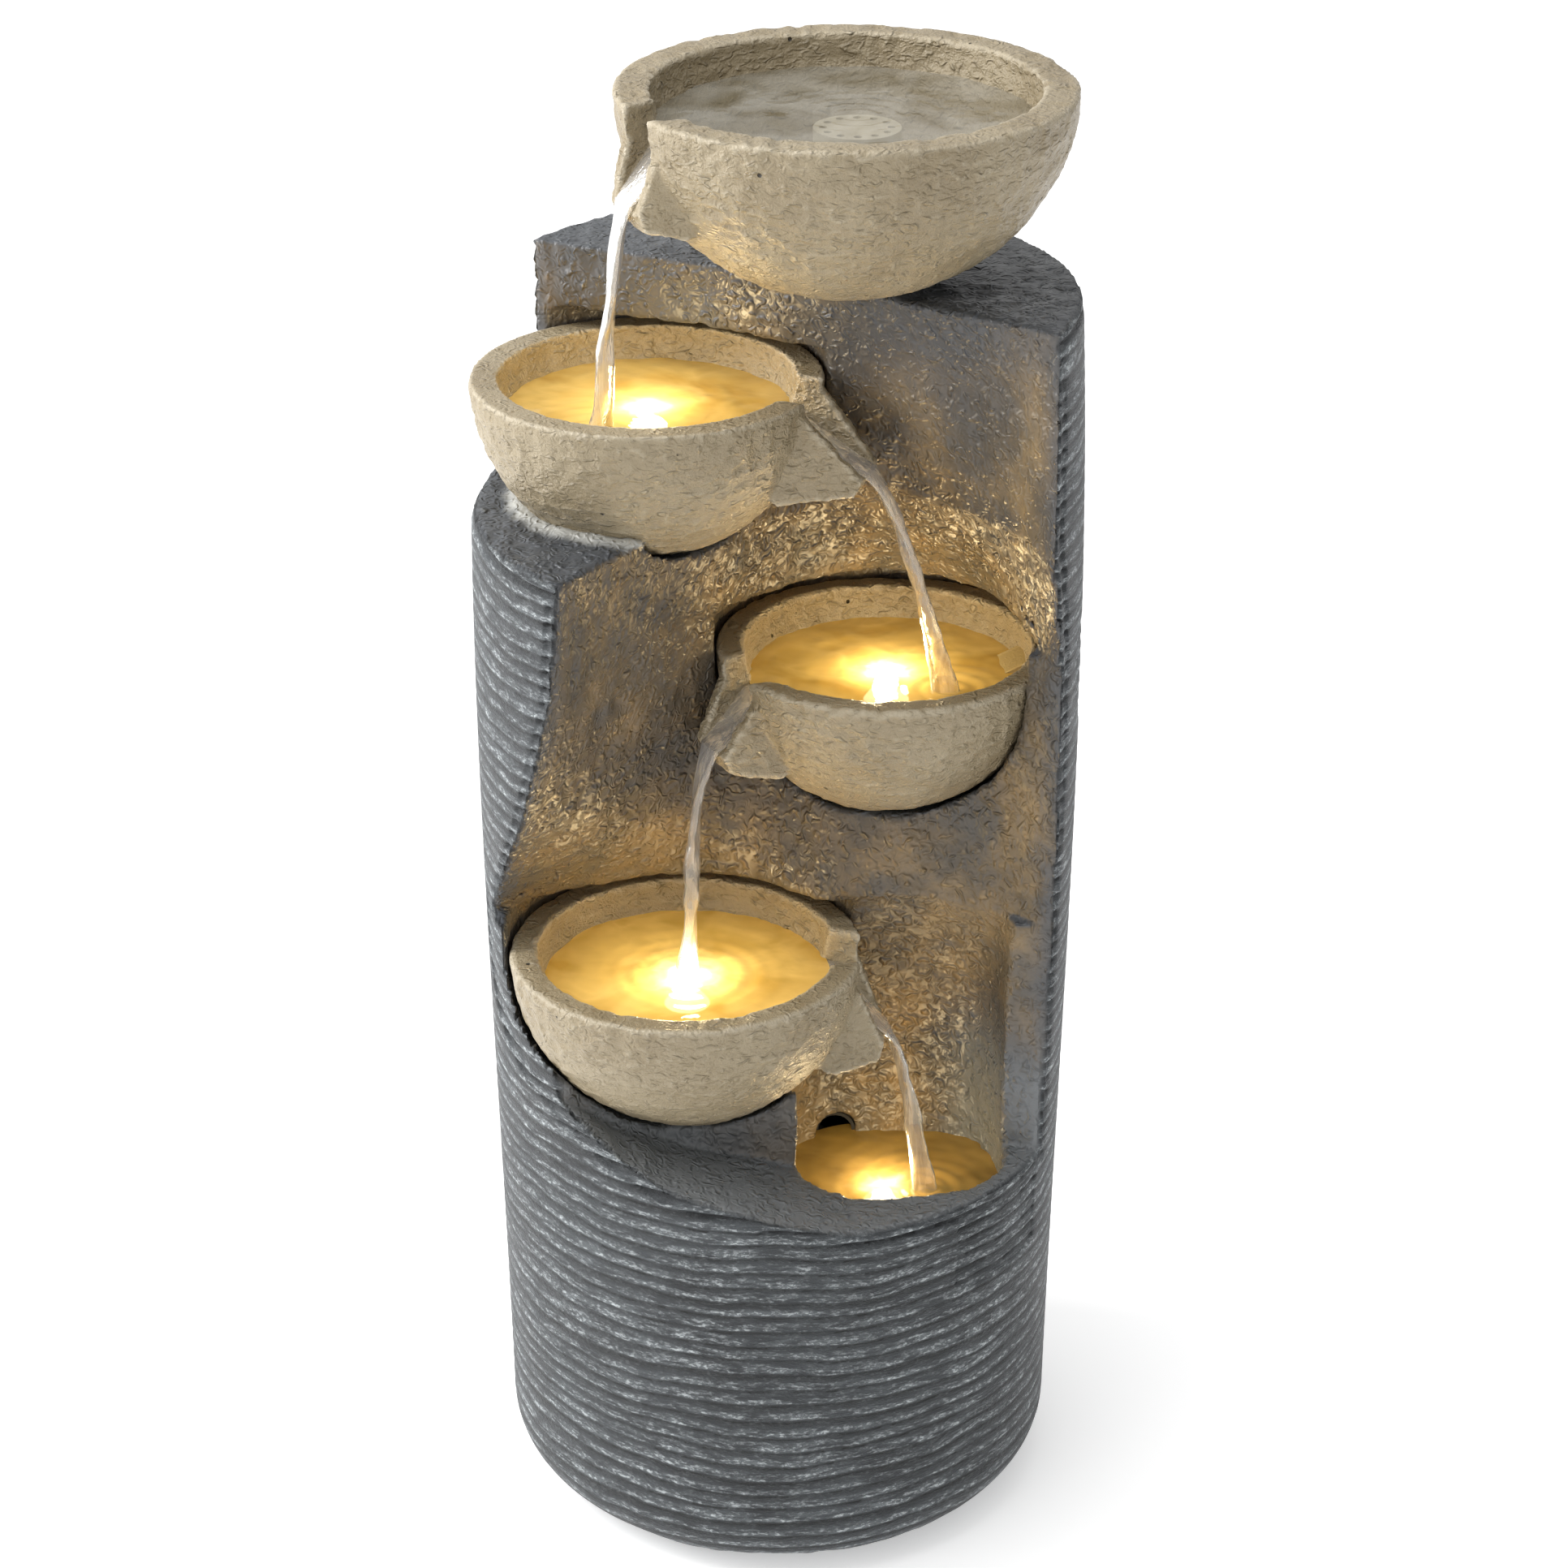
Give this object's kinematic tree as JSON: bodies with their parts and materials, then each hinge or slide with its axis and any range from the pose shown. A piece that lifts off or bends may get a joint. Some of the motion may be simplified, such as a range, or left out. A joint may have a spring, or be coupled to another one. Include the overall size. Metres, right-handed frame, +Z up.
{
  "type": "water fountain",
  "caption": "Ribbed hollow column with a carved front, stacked spouted bowls pouring into one another, a lit basin, inner pump and hose, and a rear access door.",
  "frame": {"origin": "centre of the flat underside of the column", "axes": "+Z up along the column, -Y towards the carved front, +X to the right as seen from the front"},
  "size_m": [0.342, 0.3377, 0.846],
  "materials": {
    "column_resin": "dry-brushed slate over cast resin",
    "plate_resin": "plain cast resin",
    "bowl_stone": "crinkled sandstone-look resin",
    "door_resin": "ribbed cast resin",
    "seal_foam": "closed-cell foam",
    "frame_plastic": "matt",
    "tub_plastic": "matt",
    "sleeve_rubber": "matt",
    "pump_plastic": "semi-gloss",
    "impeller_plastic": "satin",
    "strainer_plastic": "matt",
    "dial_plastic": "matt",
    "foot_rubber": "matt",
    "hose_vinyl": "satin vinyl",
    "fitting_plastic": "matt",
    "clamp_steel": "brushed",
    "cap_plastic": "stone-coloured, matt",
    "lamp_plastic": "matt",
    "lamp_lens": "clear, warm light behind",
    "nut_plastic": "matt",
    "splitter_plastic": "matt",
    "lead_cable": "satin",
    "gland_rubber": "matt",
    "cover_resin": "crinkled resin"
  },
  "bodies": {
    "fountain": {"column_foot_left": "column_resin", "column_foot_right": "column_resin", "column_cord_low": "column_resin", "column_cord_high": "column_resin", "column_back": "column_resin", "column_shelf": "column_resin", "column_basin": "column_resin", "column_middle": "column_resin", "column_top": "column_resin", "base_plate": "plate_resin", "bowl_one": "bowl_stone", "bowl_two": "bowl_stone", "bowl_three": "bowl_stone", "bowl_four": "bowl_stone", "door_seal": "seal_foam", "door_frame": "frame_plastic", "reservoir_tub": "tub_plastic", "hole_sleeve": "sleeve_rubber", "pump_housing": "pump_plastic", "pump_foot_1": "foot_rubber", "pump_foot_2": "foot_rubber", "pump_foot_3": "foot_rubber", "pump_foot_4": "foot_rubber", "riser_hose": "hose_vinyl", "inlet_elbow": "fitting_plastic", "inlet_tube": "fitting_plastic", "inlet_nut": "fitting_plastic", "hose_clamp_low": "clamp_steel", "hose_clamp_high": "clamp_steel", "lamp_two": "lamp_plastic", "lamp_lens_two": "lamp_lens", "lamp_nut_two": "nut_plastic", "lamp_three": "lamp_plastic", "lamp_lens_three": "lamp_lens", "lamp_nut_three": "nut_plastic", "lamp_four": "lamp_plastic", "lamp_lens_four": "lamp_lens", "lamp_nut_four": "nut_plastic", "lamp_basin": "lamp_plastic", "lamp_lens_basin": "lamp_lens", "lamp_nut_basin": "nut_plastic", "lead_splitter": "splitter_plastic", "lead_two": "lead_cable", "lead_three": "lead_cable", "lead_four": "lead_cable", "lead_basin": "lead_cable", "lead_pump": "lead_cable", "cord_gland": "gland_rubber", "cable_cover": "cover_resin"},
    "door": {"access_door": "door_resin"},
    "impeller": {"pump_impeller": "impeller_plastic"},
    "strainer": {"pump_strainer": "strainer_plastic"},
    "dial": {"pump_dial": "dial_plastic"},
    "cap": {"spray_cap": "cap_plastic"}
  },
  "joints": [
    {"name": "door_pull", "type": "slide", "parent": "fountain", "child": "door", "axis": [0, 1, 0], "range_m": [0, 0.08]},
    {"name": "impeller_spin", "type": "hinge", "parent": "fountain", "child": "impeller", "pos_m": [-0.005, 0.09, 0.181], "axis": [0, 1, 0], "continuous": true},
    {"name": "strainer_pull", "type": "slide", "parent": "fountain", "child": "strainer", "axis": [0, -1, 0], "range_m": [0, 0.03]},
    {"name": "dial_turn", "type": "hinge", "parent": "fountain", "child": "dial", "pos_m": [0.022, 0.108, 0.181], "axis": [1, 0, 0], "range_deg": [0, 270]},
    {"name": "cap_lift", "type": "slide", "parent": "fountain", "child": "cap", "axis": [0, 0, 1], "range_m": [0, 0.04]}
  ]
}
